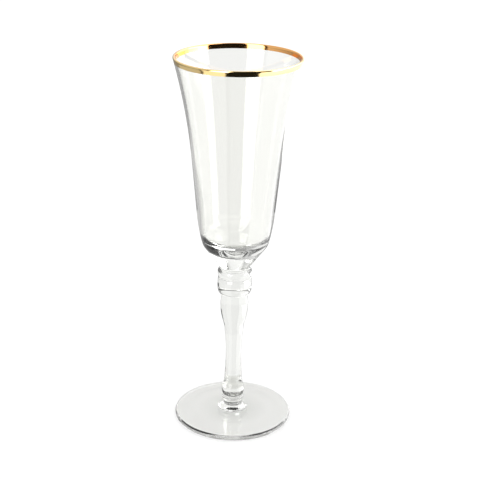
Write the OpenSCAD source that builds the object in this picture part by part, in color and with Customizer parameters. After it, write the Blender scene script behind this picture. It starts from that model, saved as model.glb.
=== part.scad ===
// Gold-rimmed champagne flute: a flared bowl on a baluster stem with knops, on a round foot.
// The glass is gathered in eight pieces that meet face to face, and a fired gold band caps the lip.
// Origin: centre of the foot's resting ring, on the table. +Z up. Millimetres.

/* [Overall] */
// Height from the table to the top of the gilded lip
overall_h = 220; // [200:1:240]
// Outside diameter of the rim
rim_d = 72; // [66:0.5:78]
// Diameter of the foot
foot_d = 69.5; // [60:0.5:80]

/* [Bowl] */
// Wall thickness at the lip
lip_t = 1.5; // [1.2:0.1:2]
// Outside diameter where the trumpet flare begins
waist_d = 50.5; // [48:0.5:53]
// Drop from the rim to the start of the flare
flare_h = 60; // [50:1:70]
// Outward lean of the straight wall, in degrees
wall_lean = 5.3; // [4:0.1:6]
// Height of the straight wall below the flare
wall_h = 30; // [20:1:40]
// Radius of the long curve at the belly
belly_r = 116; // [90:1:130]
// Lean at the bottom of the belly curve, in degrees
belly_lean = 14; // [12:0.5:16]
// Radius of the shoulder that turns the bowl under
shoulder_r = 10; // [8:0.5:15]
// Lean of the cone under the bowl, in degrees
cone_lean = 37; // [34:0.5:40]
// Radius of the cove where the cone meets the collar
cove_r = 4; // [3:0.5:6]
// Extra lean of the inside wall, which thickens the glass downwards, in degrees
inner_extra_lean = 0.9; // [0.5:0.1:1.2]
// Height of the inside wall below the flare, down to the inner bottom
inner_wall_h = 41; // [38:0.5:44]
// Radius that turns the inside wall into the inner bottom
inner_turn_r = 10; // [6:0.5:12]
// Lean at which that turn runs into the round inner bottom, in degrees
inner_turn_lean = 55; // [50:1:65]

/* [Gold band] */
// Height of the gold band, the same inside and outside
band_h = 3; // [2:0.1:5]
// Thickness of the gold band, let flush into the glass
band_t = 0.15; // [0.1:0.01:0.2]

/* [Stem] */
// Diameter of the plane where the bowl stands on its collar
bowl_seat_d = 16.8; // [16.4:0.1:18]
// Diameter of the collar under the bowl
collar_d = 20; // [19:0.1:21]
// Height of the collar under the bowl
collar_h = 4.4; // [3.5:0.1:6]
// Diameter of the neck between the collar and the stem knop
neck_d = 18.6; // [17:0.1:18.8]
// Height of that neck
neck_h = 0.6; // [0.4:0.1:2]
// Diameter of the stem knop
knop_d = 20.2; // [19:0.1:23]
// Height of the stem knop
knop_h = 10.2; // [8:0.1:11]
// Diameter of the crease under the stem knop
crease_d = 16.4; // [16.3:0.1:17.5]
// Diameter of the cove above the swelling of the shaft
cove_d = 16; // [15:0.1:16.1]
// Diameter of the swelling at the top of the shaft
swell_d = 16.5; // [16.2:0.1:17.5]
// Depth of the swelling below the top of the shaft
swell_drop = 7; // [6:0.5:9]
// Radius of the rounded underside of the swelling
swell_r = 37; // [34:1:40]
// Lean at the steepest place under the swelling, in degrees
swell_lean = 17.5; // [16:0.5:19]
// Radius of the turn into the slender part of the shaft
shaft_turn_r = 17; // [10:1:24]
// Lean where the long hollow curve of the shaft begins, in degrees
shaft_lean = 7; // [6:0.5:7.5]
// Radius of the long hollow curve of the shaft
shaft_r = 165; // [150:5:180]

/* [Base] */
// Diameter of the base knop
base_knop_d = 13.4; // [12:0.1:14]
// Height of the base knop
base_knop_h = 11.8; // [10:0.1:12.5]
// Height of the widest place of the base knop, as a fraction of the knop's height
base_knop_widest = 0.31; // [0.25:0.01:0.5]
// Diameter of the throat under the base knop
throat_d = 9.8; // [9:0.1:10.5]
// Diameter of the ring under the throat
ring_d = 13.1; // [12.4:0.1:14]
// Height of that ring
ring_h = 2.6; // [2:0.1:3.5]
// Diameter of the neck that the flange narrows to under the ring
flange_neck_d = 11.4; // [10.6:0.1:12]
// Diameter of the flange that spreads the stem onto the foot
flange_d = 17.6; // [16:0.1:19]
// Height of the flange with its neck
flange_h = 5.2; // [4.6:0.1:6.5]
// Height at which the flange has narrowed to its neck, as a fraction of its whole height
flange_flare = 0.5; // [0.45:0.05:0.8]

/* [Foot] */
// Thickness of the rounded edge of the foot
foot_edge_t = 3.2; // [2.6:0.1:4]
// Rise of the foot's top from its edge to the flange
foot_rise = 1.8; // [1:0.1:3]
// Width of the flat ring that the foot rests on
rest_w = 2.5; // [1.5:0.5:6]
// Height of the hollow under the middle of the foot
hollow_h = 1.4; // [0.8:0.1:2]

/* [Hidden] */

// Circles around the axis
$fn = 128;
// Straight steps that the band's side, a short, a middling and a long curve are drawn with
band_steps = 2;
short_curve = 6;
curve = 10;
long_curve = 16;
// Points closer than this are one
same = 0.001;
// How steeply the foot's top rises towards its middle: 1 is a straight cone
foot_rise_power = 1.6;
// Squareness of rounded edges: 2 is an ellipse
square = 2.2;
// Height of the flange's rounded lower edge, and how far it tucks in
flange_edge = 0.6;
flange_tuck = 0.4;
// Height of the widest place of the ring, as a fraction of its height
ring_widest = 0.5;
// Height of the widest place of the collar, as a fraction of its height
collar_widest = 0.6;

crystal = [0.88, 0.92, 0.91, 0.45];
gold = [0.83, 0.62, 0.24];

// Levels, from the table up
flange_z = foot_edge_t + foot_rise;
ring_z = flange_z + flange_h;
throat_z = ring_z + ring_h;
shaft_z = throat_z + base_knop_h;

// Flare of the bowl: the middle of the wall follows one arc, from the waist to the centre of the lip
half_t = lip_t / 2;
lip = [rim_d / 2 - half_t, overall_h - half_t];
waist = [waist_d / 2, overall_h - flare_h];
mid_waist = [waist[0] - half_t * cos(wall_lean), waist[1] + half_t * sin(wall_lean)];
flare_run = lip - mid_waist;
flare_r = (flare_run * flare_run) / (2 * (flare_run[0] * cos(wall_lean) - flare_run[1] * sin(wall_lean)));
flare_centre = [mid_waist[0] + flare_r * cos(wall_lean), mid_waist[1] - flare_r * sin(wall_lean)];
lip_lean = asin((lip[1] - flare_centre[1]) / flare_r);
band_lean = asin((overall_h - band_h - flare_centre[1]) / flare_r);

// Outside of the bowl below the waist
belly = [waist[0] - wall_h * tan(wall_lean), waist[1] - wall_h];
shoulder = turn(belly, belly_r, wall_lean, belly_lean);
cone = turn(shoulder, shoulder_r, belly_lean, cone_lean);
seat_r = bowl_seat_d / 2;
cove_start_r = seat_r + cove_r * (1 - cos(cone_lean));
cove_start = [cove_start_r, cone[1] - (cone[0] - cove_start_r) / tan(cone_lean)];
bowl_z = cove_start[1] - cove_r * sin(cone_lean);

// Inside of the bowl below the waist
inner_waist = [waist[0] - lip_t * cos(wall_lean), waist[1] + lip_t * sin(wall_lean)];
inner_lean = wall_lean + inner_extra_lean;
inner_turn = [inner_waist[0] - inner_wall_h * tan(inner_lean), inner_waist[1] - inner_wall_h];
inner_bottom = turn(inner_turn, inner_turn_r, inner_lean, inner_turn_lean);
inner_bottom_r = inner_bottom[0] / cos(inner_turn_lean);
inner_bottom_centre_z = inner_bottom[1] + inner_bottom_r * sin(inner_turn_lean);

// Levels of the stem, from the bowl down
collar_z = bowl_z - collar_h;
neck_z = collar_z - neck_h;
knop_z = neck_z - knop_h;

// Shaft: from the swelling down to the long hollow curve
swell = [swell_d / 2, knop_z - swell_drop];
under_swell = turn(swell, swell_r, 0, swell_lean);
slender = hollow_turn(under_swell, shaft_turn_r, swell_lean, shaft_lean);
shaft_min_r = slender[0] - shaft_r * (1 - cos(shaft_lean));
shaft_min_z = slender[1] - shaft_r * sin(shaft_lean);
shaft_end_lean = asin((shaft_min_z - shaft_z) / shaft_r);
shaft_end_r = shaft_min_r + shaft_r * (1 - cos(shaft_end_lean));

// Points on an arc about a centre, from one angle to another (0 is outwards, 90 is up)
function arc(centre, radius, from, to, steps) =
    [for (i = [0:steps]) let (a = from + (to - from) * i / steps) centre + radius * [cos(a), sin(a)]];

// Going down from a start point, the end of a convex turn between two leans
function turn(start, radius, lean, to_lean) =
    start - radius * [cos(lean) - cos(to_lean), sin(to_lean) - sin(lean)];

// The points of that turn
function turn_points(start, radius, lean, to_lean, steps) =
    arc(start - radius * [cos(lean), -sin(lean)], radius, -lean, -to_lean, steps);

// Going down from a start point, the end of a hollow turn between two leans
function hollow_turn(start, radius, lean, to_lean) =
    start - radius * [cos(to_lean) - cos(lean), sin(lean) - sin(to_lean)];

// The points of that turn
function hollow_turn_points(start, radius, lean, to_lean, steps) =
    arc(start + radius * [cos(lean), -sin(lean)], radius, 180 - lean, 180 - to_lean, steps);

// Points of a smooth S between two points, upright at both ends
function ease(start, end, steps) =
    [for (i = [0:steps]) let (u = i / steps)
        [start[0] + (end[0] - start[0]) * (1 - cos(180 * u)) / 2, start[1] + (end[1] - start[1]) * u]];

// Quarter of a rounded edge, from its widest point in to a crease
function round_in(widest, crease, squareness = 2) =
    [for (i = [0:curve]) let (a = 90 * i / curve, k = 2 / squareness)
        [crease[0] + (widest[0] - crease[0]) * pow(cos(a), k),
         widest[1] + (crease[1] - widest[1]) * pow(sin(a), k)]];

// Points on the bowl's flare, at a distance outside the middle of the wall
function flare_points(outside, from_lean, to_lean, steps) =
    arc(flare_centre, flare_r - outside, 180 - from_lean, 180 - to_lean, steps);

// Half a circle over the lip, from the outside of the wall to the inside
function lip_points(radius) = arc(lip, radius, -lip_lean, 180 - lip_lean, curve);

// List in the opposite order
function reversed(list) = [for (i = [len(list) - 1:-1:0]) list[i]];

// List without the points that repeat the one before
function distinct(list) = [for (i = [0:len(list) - 1]) if (i == 0 || norm(list[i] - list[i - 1]) > same) list[i]];

module lathe(outline) {
    rotate_extrude() polygon(distinct(outline));
}

module foot() {
    edge_r = foot_edge_t / 2;
    edge = [foot_d / 2 - edge_r, edge_r];
    rest_r = edge[0] - rest_w;
    hollow_r = (rest_r * rest_r + hollow_h * hollow_h) / (2 * hollow_h);
    hollow_angle = asin(rest_r / hollow_r);
    run = edge[0] - flange_d / 2;
    top = [for (i = [1:curve]) let (u = i / curve)
        [edge[0] - run * u, foot_edge_t + foot_rise * pow(u, foot_rise_power)]];
    color(crystal) lathe(concat(
        arc([0, hollow_h - hollow_r], hollow_r, 90, 90 - hollow_angle, curve),
        arc(edge, edge_r, -90, 90, curve),
        top,
        [[0, flange_z]]));
}

module foot_flange() {
    widest = [flange_d / 2, flange_z + flange_edge];
    tucked = [widest[0] - flange_tuck, flange_z];
    neck = [flange_neck_d / 2, flange_z + flange_h * flange_flare];
    color(crystal) lathe(concat(
        [[0, flange_z]],
        reversed(round_in(widest, tucked)),
        ease(widest, neck, curve),
        [[neck[0], ring_z], [0, ring_z]]));
}

module base_ring() {
    widest = [ring_d / 2, ring_z + ring_h * ring_widest];
    color(crystal) lathe(concat(
        [[0, throat_z]],
        reversed(round_in(widest, [throat_d / 2, throat_z])),
        round_in(widest, [flange_neck_d / 2, ring_z]),
        [[0, ring_z]]));
}

module base_knop() {
    widest = [base_knop_d / 2, throat_z + base_knop_h * base_knop_widest];
    color(crystal) lathe(concat(
        [[0, shaft_z]],
        reversed(ease(widest, [shaft_end_r, shaft_z], curve)),
        round_in(widest, [throat_d / 2, throat_z]),
        [[0, throat_z]]));
}

module stem_shaft() {
    cove = [cove_d / 2, (knop_z + swell[1]) / 2];
    color(crystal) lathe(concat(
        [[0, knop_z]],
        ease([crease_d / 2, knop_z], cove, short_curve),
        ease(cove, swell, short_curve),
        turn_points(swell, swell_r, 0, swell_lean, curve),
        hollow_turn_points(under_swell, shaft_turn_r, swell_lean, shaft_lean, short_curve),
        hollow_turn_points(slender, shaft_r, shaft_lean, -shaft_end_lean, long_curve),
        [[0, shaft_z]]));
}

module stem_knop() {
    widest = [knop_d / 2, knop_z + knop_h / 2];
    neck_r = neck_d / 2;
    color(crystal) lathe(concat(
        [[0, collar_z], [neck_r, collar_z]],
        reversed(round_in(widest, [neck_r, neck_z], square)),
        round_in(widest, [crease_d / 2, knop_z], square),
        [[0, knop_z]]));
}

module bowl_collar() {
    widest = [collar_d / 2, collar_z + collar_h * collar_widest];
    color(crystal) lathe(concat(
        [[0, bowl_z]],
        reversed(round_in(widest, [bowl_seat_d / 2, bowl_z], square)),
        round_in(widest, [neck_d / 2, collar_z], square),
        [[0, collar_z]]));
}

module bowl() {
    band_glass = half_t - band_t;
    color(crystal) lathe(concat(
        [[0, bowl_z]],
        reversed(concat(
            flare_points(half_t, band_lean, wall_lean, long_curve),
            turn_points(belly, belly_r, wall_lean, belly_lean, curve),
            turn_points(shoulder, shoulder_r, belly_lean, cone_lean, short_curve),
            hollow_turn_points(cove_start, cove_r, cone_lean, 0, short_curve))),
        flare_points(band_glass, band_lean, lip_lean, band_steps),
        lip_points(band_glass),
        flare_points(-band_glass, lip_lean, band_lean, band_steps),
        flare_points(-half_t, band_lean, wall_lean, long_curve),
        turn_points(inner_turn, inner_turn_r, inner_lean, inner_turn_lean, curve),
        arc([0, inner_bottom_centre_z], inner_bottom_r, -inner_turn_lean, -90, curve)));
}

module rim_band() {
    color(gold) lathe(concat(
        flare_points(half_t, band_lean, lip_lean, band_steps),
        lip_points(half_t),
        flare_points(-half_t, lip_lean, band_lean, band_steps),
        flare_points(band_t - half_t, band_lean, lip_lean, band_steps),
        reversed(lip_points(half_t - band_t)),
        flare_points(half_t - band_t, lip_lean, band_lean, band_steps)));
}

foot();
foot_flange();
base_ring();
base_knop();
stem_shaft();
stem_knop();
bowl_collar();
bowl();
rim_band();
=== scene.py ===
import math

import bmesh
import bpy
from mathutils import Matrix, Vector


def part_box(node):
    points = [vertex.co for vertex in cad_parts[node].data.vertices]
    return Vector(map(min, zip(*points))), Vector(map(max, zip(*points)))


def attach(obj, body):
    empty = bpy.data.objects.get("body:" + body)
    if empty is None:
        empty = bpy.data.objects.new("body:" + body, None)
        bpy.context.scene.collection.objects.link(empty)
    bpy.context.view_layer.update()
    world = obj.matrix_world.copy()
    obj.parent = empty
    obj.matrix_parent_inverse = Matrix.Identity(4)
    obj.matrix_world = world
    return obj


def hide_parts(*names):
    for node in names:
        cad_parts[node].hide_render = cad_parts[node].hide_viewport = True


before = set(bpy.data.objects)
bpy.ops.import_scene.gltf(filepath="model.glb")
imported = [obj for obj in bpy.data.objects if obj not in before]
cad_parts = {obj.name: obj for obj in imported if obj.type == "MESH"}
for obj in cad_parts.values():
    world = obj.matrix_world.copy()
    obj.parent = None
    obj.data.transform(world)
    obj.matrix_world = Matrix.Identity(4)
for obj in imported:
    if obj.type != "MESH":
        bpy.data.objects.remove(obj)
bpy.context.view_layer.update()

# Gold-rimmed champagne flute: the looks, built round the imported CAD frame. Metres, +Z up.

MM = 0.001
GLASS_NODES = ("foot", "foot_flange", "base_ring", "base_knop", "stem_shaft", "stem_knop",
               "bowl_collar", "bowl")
BAND = "rim_band"

# Lathe work
ROUND_STEPS = 192                    # faces round the axis
SAME_POINT = 0.002 * MM              # points of a section closer than this are one
STRAIGHT = math.radians(0.08)        # a point that turns less than this lies on a straight stretch
CREASE = math.radians(38)            # a turn sharper than this stays a sharp edge
SMOOTH_TURN = math.radians(2.5)      # the outline is refined until it turns about this much a step
LONG_STEP = 3                        # a step this many times as long as its neighbours is straight
FILM_GAP = 0.02 * MM                 # the gold film stands this far off the glass under it
LEVEL = 0.01 * MM                    # heights closer than this are one level
CUT = 0.1 * SAME_POINT               # how exactly a node is cut to measure its outline

# Finishes
GLASS_IOR = 1.52
# Patterns in the object's metres: the stretch along each axis, the scale and the detail
CORDS = ((1, 1, 0.12), 160, 2)       # drawn-out differences of tint
HAZE_CLOUDS = ((1, 1, 1), 90, 4)
WAVES = ((1, 1, 0.25), 55, 1)
BRUSHED = ((1, 1, 6), 110, 3)        # thick and thin places of the gold, along the brush
GRAIN = ((1, 1, 3), 1400, 3)
TINT_PALE = (0.999, 1.000, 0.982, 1)
TINT_DEEP = (0.993, 0.996, 0.968, 1)
TINT_THICK = (0.925, 0.932, 0.905, 1)    # near the axis, where the glass is solid
THICK_RADIUS = 11 * MM               # the tint is full within this distance of the axis
THIN_RADIUS = 21 * MM                # and gone beyond this
HAZE = 0.012                         # roughness where the glass is least clear
WAVE_DEPTH = 0.003 * MM              # unevenness left by fire polishing
GOLD_THICK = (0.94, 0.66, 0.26, 1)
GOLD_THIN = (0.98, 0.78, 0.42, 1)
GOLD_INSIDE = (0.95, 0.50, 0.18, 1)  # deeper orange on the faces towards the axis
GOLD_ROUGHNESS = (0.04, 0.14)
GOLD_RELIEF = 0.02 * MM

# Camera, standing in front of the flute on -Y
CAMERA_DISTANCE = 0.6461
CAMERA_HEIGHT = 0.3632
CAMERA_PITCH = math.radians(21.19)
CAMERA_YAW = math.radians(0.2356)
CAMERA_ROLL = math.radians(1.0665)
CAMERA_LENS = 90.05
CAMERA_NEAR = 0.01

# Studio
BACKDROP = 1.2                       # radiance of the pale surroundings
FLOOR_SIZE = 12.0
FLOOR_GAP = 0.03 * MM                # the floor lies this far under the foot: no faces coincide
FLOOR_ALBEDO = 0.45
FLOOR_GLOW = 0.49                    # the flute stands on a pale light table
WHITE_GROUND = 0.05                  # more glow for the camera, so that the bare floor is white
TABLE_RADIUS = 0.5                   # beyond this the table painted into reflections ends and the floor begins
HORIZON_BLUR = math.radians(14)      # height over which the floor's stretches become the room's
HIGH = math.radians(25)              # above this height the room is as it is high up
OVERHEAD = math.radians(75)          # above this height the painted reflections show a ceiling
CEILING = 0.3
SOFTBOX = 6.0                        # radiance of the brightest softbox
EDGE_BLUR = 1.5                      # degrees over which one stretch runs into the next

# What stands round the flute, as reflections show it. These are painted reflections: only light
# that a reflection has turned meets them, and they light nothing. Each stretch has the azimuth in
# degrees where it begins (0 towards the camera, positive to its right), and its radiance.
IN_THE_ROOM = (
    (-180, 1.0),                     # backdrop
    (-150, 0.8),                     # left: less bright
    (-56, 0.01),                     # frame of the left softbox
    (-49, 4.5),                      # left softbox
    (-17, 0.01),                     # dark gap with the camera
    (61, 6.0),                       # right softbox
    (107, 3.5),                      # right and behind: bright
    (150, 1.0),                      # backdrop
)
HIGH_UP = (                          # the same, higher up
    (-180, 1.0),
    (-150, 0.8),
    (-56, 0.01),
    (-49, 4.5),
    (-17, 0.01),
    (80, 3.0),
    (107, 3.5),
    (150, 1.0),
)
ON_THE_FLOOR = (                     # beyond the table
    (-180, 0.3),
    (-56, 0.01),
    (-49, 4.5),
    (-17, 0.01),
    (61, 5.0),
    (82, 1.6),
)
ON_THE_TABLE = (                     # painted reflections on the floor, as the outside of the glass and the gold reflect it
    (-180, 0.6),                     # painted grey card
    (-74, 0.1),                      # gap between painted cards
    (-68, 1.2),                      # painted white card
    (-24, 0.01),                     # painted dark card
    (40, 1.9),                       # painted lit card
    (140, 0.5),
)
THROUGH_THE_WALL = (                 # painted reflections of the table, as the inner side of the glass reflects it
    (-180, 0.5),
    (-17, 1.05),
    (140, 0.3),
)
TURNED_OFTEN = (                     # painted shade and highlights that light meets when it was turned three times or more
    (-180, 0.8),
    (-55, 0.0),
    (-35, 1.0),
    (-17, 0.15),
    (38, 0.0),
    (90, 0.8),
)
# Painted shade: how dark it is where the edges of the glass bend the view far to one side, as a
# share; only light that has passed the glass meets it
BESIDE = (
    (-180, 0.0),
    (-124, 0.15),                    # painted shade on the left
    (-100, 0.0),
    (98, 1.0),                       # painted shade to the right of the backdrop
    (126, 0.0),
)
BESIDE_RADIUS = 0.3                  # the floor shows it only beyond this
BESIDE_GLOW = 0.03                   # radiance of the darkest places there

# How often light is turned
ONCE = 0.5                           # a count above this is at least one
THREE_TIMES = 2.5                    # a count above this is at least three
BOUNCES = 64                         # the limit for light that passes the glass
GLINTS = 12                          # the limit for reflections; what goes on longer stays dark


# ---- Outlines, measured on the CAD nodes ---------------------------------------------------------

def section(node):
    """The node's cut in the half plane X > 0: its (radius, height) points in order, and whether
    they close a loop."""
    bm = bmesh.new()
    bm.from_mesh(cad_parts[node].data)
    bmesh.ops.remove_doubles(bm, verts=bm.verts, dist=SAME_POINT)
    bmesh.ops.bisect_plane(bm, geom=bm.verts[:] + bm.edges[:] + bm.faces[:], dist=CUT,
                           plane_co=(0, 0, 0), plane_no=(1, 0, 0), clear_inner=True)
    cut = bmesh.ops.bisect_plane(bm, geom=bm.verts[:] + bm.edges[:] + bm.faces[:], dist=CUT,
                                 plane_co=(0, 0, 0), plane_no=(0, 1, 0))["geom_cut"]
    links = {}
    for edge in cut:
        if isinstance(edge, bmesh.types.BMEdge):
            a, b = (grid_point(v.co) for v in edge.verts)
            if a != b:
                links.setdefault(a, set()).add(b)
                links.setdefault(b, set()).add(a)
    bm.free()
    ends = [point for point, near in links.items() if len(near) == 1]
    chain = walk(links, min(ends, key=lambda p: p[1]) if ends else min(links))
    return [Vector(p) * SAME_POINT for p in chain], not ends


def grid_point(co):
    return round(math.hypot(co.x, co.y) / SAME_POINT), round(co.z / SAME_POINT)


def walk(links, start):
    """The linked points in order from start, each once."""
    chain, here = [start], start
    seen = {start}
    while here is not None:
        here = next((p for p in links[here] if p not in seen), None)
        if here is not None:
            seen.add(here)
            chain.append(here)
    return chain


def turn(a, b, c):
    """How sharply a line through three points turns at the middle one."""
    return (b - a).angle(c - b, 0.0)


def corners_only(points, loop):
    """The points without those on straight stretches. A loop is opened at its sharpest corner."""
    if loop:
        count = len(points)
        first = max(range(count),
                    key=lambda i: turn(points[i - 1], points[i], points[(i + 1) % count]))
        points = points[first:] + points[:first + 1]
    kept = [points[0]]
    for i in range(1, len(points) - 1):
        if turn(kept[-1], points[i], points[i + 1]) > STRAIGHT:
            kept.append(points[i])
    return kept + [points[-1]]


def stretches(points, flats):
    """The outline cut at its creases and at the ends of its flats. Each stretch is one smooth
    curve."""
    cuts = [i for i in range(1, len(points) - 1) if turn(*points[i - 1:i + 2]) > CREASE
            or on_level(points[i - 1:i + 1], flats) != on_level(points[i:i + 2], flats)]
    return [refined(points[a:b + 1]) for a, b in zip([0] + cuts, cuts + [len(points) - 1])]


def refined(points):
    """Points on cubic curves through the given ones, along straight steps or along circles
    through their neighbours."""
    if len(points) == 2:
        return points
    steps = [b - a for a, b in zip(points, points[1:])]
    units = [s.normalized() for s in steps]
    straight = [all(s.length > LONG_STEP * other.length
                    for other in steps[max(i - 1, 0):i] + steps[i + 1:i + 2])
                for i, s in enumerate(steps)]
    inner = []
    for i in range(len(units) - 1):
        if straight[i] or straight[i + 1]:
            inner.append(units[i] if straight[i] else units[i + 1])
        else:
            mean = units[i] * steps[i + 1].length + units[i + 1] * steps[i].length
            inner.append(mean.normalized())
    tangents = [mirrored(inner[0], units[0])] + inner + [mirrored(inner[-1], units[-1])]
    out = [points[0]]
    for i, step in enumerate(steps):
        bend = tangents[i].angle(tangents[i + 1], 0.0)
        reach = step.length / (3 * math.cos(bend / 4) ** 2)
        count = max(1, math.ceil(bend / SMOOTH_TURN))
        a, d = points[i], points[i + 1]
        b, c = a + tangents[i] * reach, d - tangents[i + 1] * reach
        for k in range(1, count + 1):
            t = k / count
            s = 1 - t
            out.append(a * s ** 3 + b * 3 * s * s * t + c * 3 * s * t * t + d * t ** 3)
    return out


def mirrored(tangent, chord):
    """The tangent at the end of a curve that goes on as a circle: the next one, mirrored in the
    chord."""
    return 2 * tangent.dot(chord) * chord - tangent


# ---- Pieces --------------------------------------------------------------------------------------

def lathe(name, outline, materials, kinds, inset=0.0):
    """A closed, smooth piece turned round the Z axis. kinds has each stretch's material number."""
    bm = bmesh.new()
    rings = {}

    def ring(point):
        at = (round(point.x / SAME_POINT), round(point.y / SAME_POINT))
        if at not in rings:
            if point.x < SAME_POINT:
                rings[at] = [bm.verts.new((0, 0, point.y))]
            else:
                angles = (math.tau * i / ROUND_STEPS for i in range(ROUND_STEPS))
                rings[at] = [bm.verts.new((point.x * math.cos(a), point.x * math.sin(a), point.y))
                             for a in angles]
        return rings[at]

    for stretch, kind in zip(outline, kinds):
        for a, b in zip(stretch, stretch[1:]):
            low, high = ring(a), ring(b)
            for i in range(ROUND_STEPS):
                j = (i + 1) % ROUND_STEPS
                corners = [low[i % len(low)], low[j % len(low)],
                           high[j % len(high)], high[i % len(high)]]
                face = bm.faces.new(list(dict.fromkeys(corners)))
                face.material_index = kind
                face.smooth = True
    bmesh.ops.recalc_face_normals(bm, faces=bm.faces)
    for edge in bm.edges:
        one_kind = len({face.material_index for face in edge.link_faces}) == 1
        edge.smooth = one_kind and edge.calc_face_angle(0.0) < CREASE
    if inset:
        for vert in bm.verts:
            vert.co -= vert.normal * inset
    mesh = bpy.data.meshes.new(name)
    bm.to_mesh(mesh)
    bm.free()
    for material in materials:
        mesh.materials.append(material)
    piece = bpy.data.objects.new(name, mesh)
    bpy.context.collection.objects.link(piece)
    return piece


def on_level(stretch, levels):
    """True if the whole stretch lies on one of the levels."""
    return any(all(abs(p.y - level) < LEVEL for p in stretch) for level in levels)


def glass_piece(node, crystal, fused, levels, film_low):
    """A gather of glass. Its joint planes, and its skin above film_low, get the fused material."""
    outline = stretches(corners_only(*section(node)), [0.0] + levels)
    kinds = [int(on_level(stretch, levels) or min(p.y for p in stretch) > film_low - LEVEL)
             for stretch in outline]
    piece = lathe(node + "_glass", outline, (crystal, fused), kinds)
    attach(piece, "root")
    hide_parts(node)


def gold_piece(gold):
    """The film of gold over the lip, just clear of the glass."""
    outline = stretches(corners_only(*section(BAND)), [])
    piece = lathe("gold_film", outline, (gold,), [0] * len(outline), inset=FILM_GAP)
    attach(piece, "root")
    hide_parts(BAND)


# ---- Shader values -------------------------------------------------------------------------------
# Most of these add nodes to a node tree and give back the socket with the result.

def math_node(nodes, links, operation, *values):
    """The result of one operation on values, each a number or a socket."""
    node = nodes.new("ShaderNodeMath")
    node.operation = operation
    for socket, value in zip(node.inputs, values):
        if isinstance(value, (int, float)):
            socket.default_value = value
        else:
            links.new(value, socket)
    return node.outputs[0]


def between(nodes, links, factor, low, high):
    """A value that runs from low to high as the factor runs from 0 to 1."""
    return math_node(nodes, links, "MULTIPLY_ADD", factor, high - low, low)


def mixed(nodes, links, factor, first, second):
    """A colour socket between two colours, each a tuple or a socket."""
    node = nodes.new("ShaderNodeMix")
    node.data_type = "RGBA"
    links.new(factor, node.inputs["Factor"])
    for name, colour in (("A", first), ("B", second)):
        socket = next(i for i in node.inputs if i.name == name and i.type == "RGBA")
        if isinstance(colour, tuple):
            socket.default_value = colour
        else:
            links.new(colour, socket)
    return next(o for o in node.outputs if o.type == "RGBA")


def choose(nodes, links, value, limit, below, above):
    """A colour socket that gives one colour below the limit and the other above it."""
    return mixed(nodes, links, math_node(nodes, links, "GREATER_THAN", value, limit), below, above)


def grey(value):
    return value, value, value, 1


def distance(nodes, links, place):
    """The length of a vector."""
    node = nodes.new("ShaderNodeVectorMath")
    node.operation = "LENGTH"
    links.new(place, node.inputs[0])
    return node.outputs["Value"]


def across(nodes, links):
    """The position without its height."""
    level = nodes.new("ShaderNodeVectorMath")
    level.operation = "MULTIPLY"
    level.inputs[1].default_value = (1, 1, 0)
    links.new(nodes.new("ShaderNodeNewGeometry").outputs["Position"], level.inputs[0])
    return level.outputs[0]


def from_axis(nodes, links):
    """The distance from the Z axis."""
    return distance(nodes, links, across(nodes, links))


def faces_inwards(nodes, links):
    """1 where the surface faces the Z axis, and 0 elsewhere."""
    facing = nodes.new("ShaderNodeVectorMath")
    facing.operation = "DOT_PRODUCT"
    links.new(across(nodes, links), facing.inputs[0])
    links.new(nodes.new("ShaderNodeNewGeometry").outputs["Normal"], facing.inputs[1])
    return math_node(nodes, links, "LESS_THAN", facing.outputs["Value"], 0.0)


def noise(nodes, links, stretch, scale, detail):
    """Noise between 0 and 1 in the object's own metres, stretched along the axes."""
    mapping = nodes.new("ShaderNodeMapping")
    mapping.inputs["Scale"].default_value = stretch
    links.new(nodes.new("ShaderNodeTexCoord").outputs["Object"], mapping.inputs["Vector"])
    texture = nodes.new("ShaderNodeTexNoise")
    texture.inputs["Scale"].default_value = scale
    texture.inputs["Detail"].default_value = detail
    links.new(mapping.outputs[0], texture.inputs["Vector"])
    return texture.outputs["Fac"]


def bump(nodes, links, height, depth, shader):
    """Lets the height, between 0 and 1, raise the shader's surface by up to the depth."""
    node = nodes.new("ShaderNodeBump")
    node.inputs["Strength"].default_value = 1.0
    node.inputs["Distance"].default_value = depth
    links.new(height, node.inputs["Height"])
    links.new(node.outputs[0], shader.inputs["Normal"])


# ---- Materials -----------------------------------------------------------------------------------

def new_material(name):
    """A material with its Principled shader, its nodes and its links."""
    material = bpy.data.materials.new(name)
    material.use_nodes = True
    nodes = material.node_tree.nodes
    return material, nodes["Principled BSDF"], nodes, material.node_tree.links


def crystal_material():
    """Clear fire-polished glass: a faint uneven tint, drawn-out waves and a breath of haze."""
    material, shader, nodes, links = new_material("crystal")
    cords = noise(nodes, links, *CORDS)
    tint = mixed(nodes, links, cords, TINT_DEEP, TINT_PALE)
    run = THIN_RADIUS - THICK_RADIUS
    radius = from_axis(nodes, links)
    solid = math_node(nodes, links, "MULTIPLY_ADD", radius, -1 / run, THIN_RADIUS / run)
    links.new(mixed(nodes, links, solid, tint, TINT_THICK), shader.inputs["Base Color"])
    haze = between(nodes, links, noise(nodes, links, *HAZE_CLOUDS), 0.0, HAZE)
    links.new(haze, shader.inputs["Roughness"])
    bump(nodes, links, noise(nodes, links, *WAVES), WAVE_DEPTH, shader)
    shader.inputs["Transmission Weight"].default_value = 1.0
    shader.inputs["IOR"].default_value = GLASS_IOR
    return material


def fused_material():
    """The joint between two fused gathers, and the glass under the gold film: nothing to see."""
    material, shader, nodes, links = new_material("fused_joint")
    clear = nodes.new("ShaderNodeBsdfTransparent")
    nodes.remove(shader)
    links.new(clear.outputs[0], nodes["Material Output"].inputs["Surface"])
    return material


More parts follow.
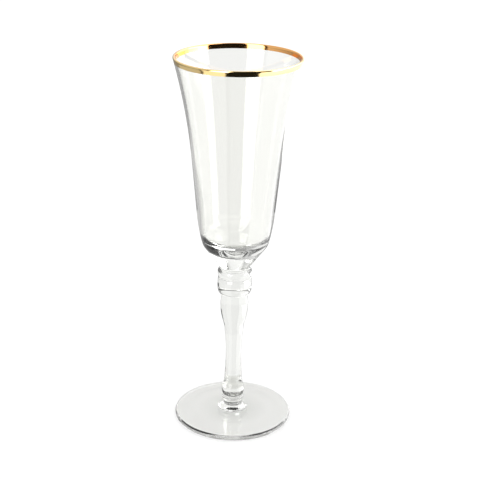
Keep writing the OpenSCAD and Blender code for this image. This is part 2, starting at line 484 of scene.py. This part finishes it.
def gold_material():
    """Fired liquid gold: bright, laid unevenly by the brush, with a fine burnished grain."""
    material, shader, nodes, links = new_material("fired_gold")
    laid = noise(nodes, links, *BRUSHED)
    outer = mixed(nodes, links, laid, GOLD_THIN, GOLD_THICK)
    colour = mixed(nodes, links, faces_inwards(nodes, links), outer, GOLD_INSIDE)
    links.new(colour, shader.inputs["Base Color"])
    grain = noise(nodes, links, *GRAIN)
    links.new(between(nodes, links, grain, *GOLD_ROUGHNESS), shader.inputs["Roughness"])
    bump(nodes, links, laid, GOLD_RELIEF, shader)
    shader.inputs["Metallic"].default_value = 1.0
    return material


# ---- Studio --------------------------------------------------------------------------------------

def on_ramp(azimuth):
    """Where an azimuth in degrees lies on a ramp that runs once round."""
    return azimuth / 360 + 0.5


def surroundings(nodes, links, place, stretches_round, brightest):
    """The values round the flute by azimuth, as a colour socket, in shares of the brightest."""
    split = nodes.new("ShaderNodeSeparateXYZ")
    links.new(place, split.inputs[0])
    towards = math_node(nodes, links, "MULTIPLY", split.outputs["Y"], -1.0)
    angle = math_node(nodes, links, "ARCTAN2", split.outputs["X"], towards)
    turns = math_node(nodes, links, "MULTIPLY_ADD", angle, 1 / math.tau, 0.5)
    ramp = nodes.new("ShaderNodeValToRGB")
    links.new(turns, ramp.inputs[0])
    stops = ramp.color_ramp.elements
    shares = [(azimuth, grey(value / brightest)) for azimuth, value in stretches_round]
    stops[0].position, stops[0].color = 0.0, shares[0][1]
    stops[1].position, stops[1].color = 1.0, shares[-1][1]
    for (_, before), (azimuth, share) in zip(shares, shares[1:]):
        stops.new(on_ramp(azimuth - EDGE_BLUR)).color = before
        stops.new(on_ramp(azimuth + EDGE_BLUR)).color = share
    return ramp.outputs["Color"]


def layered(nodes, links, kind, plain, colour, place, output):
    """Shows the plain shader, with painted shade beside the backdrop for light that has passed the
    glass, and the colour, in shares of the brightest softbox, as painted reflections to light that
    a reflection has turned; light turned three times or more meets painted shade and highlights
    instead."""
    path = nodes.new("ShaderNodeLightPath")
    turned = math_node(nodes, links, "GREATER_THAN", path.outputs["Glossy Depth"], ONCE)
    passed = math_node(nodes, links, "GREATER_THAN", path.outputs["Transmission Depth"], ONCE)
    far = math_node(nodes, links, "GREATER_THAN", distance(nodes, links, place), BESIDE_RADIUS)
    beside = math_node(nodes, links, "MULTIPLY", passed, far)
    shade = math_node(nodes, links, "MULTIPLY", beside,
                      surroundings(nodes, links, place, BESIDE, 1.0))
    dark = nodes.new(kind)
    dark.inputs["Strength"].default_value = BESIDE_GLOW
    often = math_node(nodes, links, "GREATER_THAN", path.outputs["Glossy Depth"], THREE_TIMES)
    colour = mixed(nodes, links, often, colour,
                   surroundings(nodes, links, place, TURNED_OFTEN, SOFTBOX))
    reflected = nodes.new(kind)
    reflected.inputs["Strength"].default_value = SOFTBOX
    links.new(colour, reflected.inputs["Color"])
    shown = plain
    for factor, shader in ((shade, dark.outputs[0]), (turned, reflected.outputs[0])):
        mix = nodes.new("ShaderNodeMixShader")
        links.new(factor, mix.inputs[0])
        links.new(shown, mix.inputs[1])
        links.new(shader, mix.inputs[2])
        shown = mix.outputs[0]
    links.new(shown, output.inputs["Surface"])


def make_world():
    """The plain backdrop, and the painted room that only reflections show."""
    world = bpy.data.worlds.new("studio")
    bpy.context.scene.world = world
    world.use_nodes = True
    nodes, links = world.node_tree.nodes, world.node_tree.links
    plain = nodes["Background"]
    plain.inputs["Color"].default_value = grey(1.0)
    plain.inputs["Strength"].default_value = BACKDROP
    direction = nodes.new("ShaderNodeTexCoord").outputs["Generated"]
    height = nodes.new("ShaderNodeSeparateXYZ")
    links.new(direction, height.inputs[0])
    rise = math_node(nodes, links, "DIVIDE", height.outputs["Z"], math.sin(HORIZON_BLUR))
    room = mixed(nodes, links, rise, surroundings(nodes, links, direction, ON_THE_FLOOR, SOFTBOX),
                 surroundings(nodes, links, direction, IN_THE_ROOM, SOFTBOX))
    room = choose(nodes, links, height.outputs["Z"], math.sin(HIGH), room,
                  surroundings(nodes, links, direction, HIGH_UP, SOFTBOX))
    room = choose(nodes, links, height.outputs["Z"], math.sin(OVERHEAD), room,
                  grey(CEILING / SOFTBOX))
    layered(nodes, links, "ShaderNodeBackground", plain.outputs[0], room, direction,
            nodes["World Output"])


def make_floor():
    """The plain pale floor, and the painted table and floor that only reflections show."""
    bm = bmesh.new()
    bmesh.ops.create_grid(bm, x_segments=1, y_segments=1, size=FLOOR_SIZE / 2,
                          matrix=Matrix.Translation((0, 0, -FLOOR_GAP)))
    mesh = bpy.data.meshes.new("floor")
    bm.to_mesh(mesh)
    bm.free()
    floor = bpy.data.objects.new("floor", mesh)
    bpy.context.collection.objects.link(floor)
    material, shader, nodes, links = new_material("pale_floor")
    shader.inputs["Base Color"].default_value = grey(FLOOR_ALBEDO)
    shader.inputs["Roughness"].default_value = 1.0
    shader.inputs["Specular IOR Level"].default_value = 0.0
    shader.inputs["Emission Color"].default_value = grey(1.0)
    path = nodes.new("ShaderNodeLightPath")
    glow = math_node(nodes, links, "MULTIPLY_ADD", path.outputs["Is Camera Ray"],
                     WHITE_GROUND, FLOOR_GLOW)
    links.new(glow, shader.inputs["Emission Strength"])
    place = nodes.new("ShaderNodeNewGeometry").outputs["Position"]
    table = choose(nodes, links, path.outputs["Transmission Depth"], ONCE,
                   surroundings(nodes, links, place, ON_THE_TABLE, SOFTBOX),
                   surroundings(nodes, links, place, THROUGH_THE_WALL, SOFTBOX))
    ground = choose(nodes, links, distance(nodes, links, place), TABLE_RADIUS, table,
                    surroundings(nodes, links, place, ON_THE_FLOOR, SOFTBOX))
    layered(nodes, links, "ShaderNodeEmission", shader.outputs[0], ground, place,
            nodes["Material Output"])
    mesh.materials.append(material)


def make_camera():
    forward = Vector((math.sin(CAMERA_YAW) * math.cos(CAMERA_PITCH),
                      math.cos(CAMERA_YAW) * math.cos(CAMERA_PITCH),
                      -math.sin(CAMERA_PITCH)))
    right = Vector((math.cos(CAMERA_YAW), -math.sin(CAMERA_YAW), 0))
    turned = Matrix((right, right.cross(forward), -forward)).transposed()
    camera = bpy.data.objects.new("camera", bpy.data.cameras.new("camera"))
    camera.data.lens = CAMERA_LENS
    camera.data.clip_start = CAMERA_NEAR
    camera.matrix_world = (Matrix.Translation((0, -CAMERA_DISTANCE, CAMERA_HEIGHT))
                           @ turned.to_4x4() @ Matrix.Rotation(CAMERA_ROLL, 4, "Z"))
    bpy.context.collection.objects.link(camera)
    bpy.context.scene.camera = camera


def make_studio():
    make_camera()
    make_world()
    make_floor()
    scene = bpy.context.scene
    scene.view_settings.view_transform = "Standard"
    scene.cycles.max_bounces = BOUNCES
    scene.cycles.transmission_bounces = BOUNCES
    scene.cycles.glossy_bounces = GLINTS
    scene.cycles.transparent_max_bounces = BOUNCES


# ---- The flute -----------------------------------------------------------------------------------

def make_flute():
    crystal, fused, gold = crystal_material(), fused_material(), gold_material()
    levels = [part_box(node)[1].z for node in GLASS_NODES[:-1]]
    film_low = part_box(BAND)[0].z
    for node in GLASS_NODES:
        glass_piece(node, crystal, fused, levels, film_low)
    gold_piece(gold)


make_studio()
make_flute()
